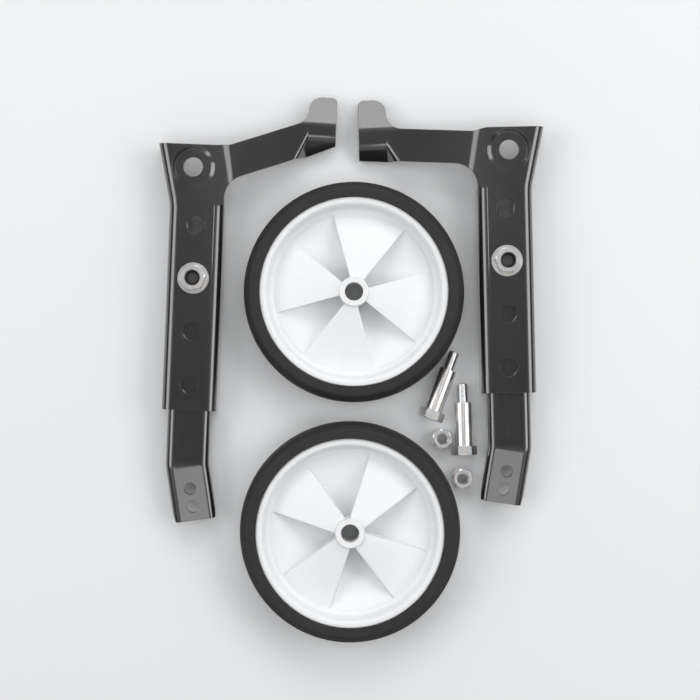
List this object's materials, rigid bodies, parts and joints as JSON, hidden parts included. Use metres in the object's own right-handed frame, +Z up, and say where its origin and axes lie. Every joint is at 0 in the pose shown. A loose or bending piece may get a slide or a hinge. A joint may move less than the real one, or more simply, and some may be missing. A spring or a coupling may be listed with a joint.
{
  "type": "bicycle training wheels",
  "caption": "Training wheel set for a child's bicycle: pressed steel arms with sliding legs, white disc wheels with solid tyres and axle bolts, laid out flat as supplied.",
  "frame": {"origin": "middle of the footprint of the laid-out set, on the floor", "axes": "+Z up from the floor, along the wheel bores; +Y along the arms from foot to axle hole, the set's longest extent; +X from the left arm to the right arm"},
  "size_m": [0.2178, 0.3098, 0.0281],
  "materials": {
    "black_paint": "deep gloss black paint",
    "zinc": "bright zinc plate",
    "white_rim": "satin white moulding",
    "tyre": "matt charcoal solid tyre",
    "white_bush": "satin white nylon"
  },
  "bodies": {
    "frame": {"left_bracket": "black_paint", "left_clamp_bolt": "zinc", "left_clamp_washer": "zinc", "left_clamp_nut": "zinc", "right_bracket": "black_paint", "right_clamp_bolt": "zinc", "right_clamp_washer": "zinc", "right_clamp_nut": "zinc", "upper_wheel_front_bush": "white_bush", "upper_wheel_back_bush": "white_bush", "lower_wheel_front_bush": "white_bush", "lower_wheel_back_bush": "white_bush", "axle_bolts": "zinc", "axle_washers": "zinc", "axle_spring_washers": "zinc", "axle_nuts": "zinc"},
    "left_leg": {"left_leg": "black_paint"},
    "right_leg": {"right_leg": "black_paint"},
    "upper_wheel": {"upper_wheel_rim": "white_rim", "upper_wheel_tyre": "tyre"},
    "lower_wheel": {"lower_wheel_rim": "white_rim", "lower_wheel_tyre": "tyre"}
  },
  "joints": [
    {"name": "left_leg_slide", "type": "slide", "parent": "frame", "child": "left_leg", "axis": [-0.0401, -0.9992, 0], "range_m": [0, 0.03]},
    {"name": "right_leg_slide", "type": "slide", "parent": "frame", "child": "right_leg", "axis": [0.0227, -0.9997, 0], "range_m": [0, 0.03]},
    {"name": "upper_wheel_spin", "type": "hinge", "parent": "frame", "child": "upper_wheel", "pos_m": [0.00148, 0.0433, 0.0125], "axis": [0, 0, 1], "continuous": true},
    {"name": "lower_wheel_spin", "type": "hinge", "parent": "frame", "child": "lower_wheel", "pos_m": [-0.00072, -0.0924, 0.0125], "axis": [0, 0, 1], "continuous": true}
  ]
}
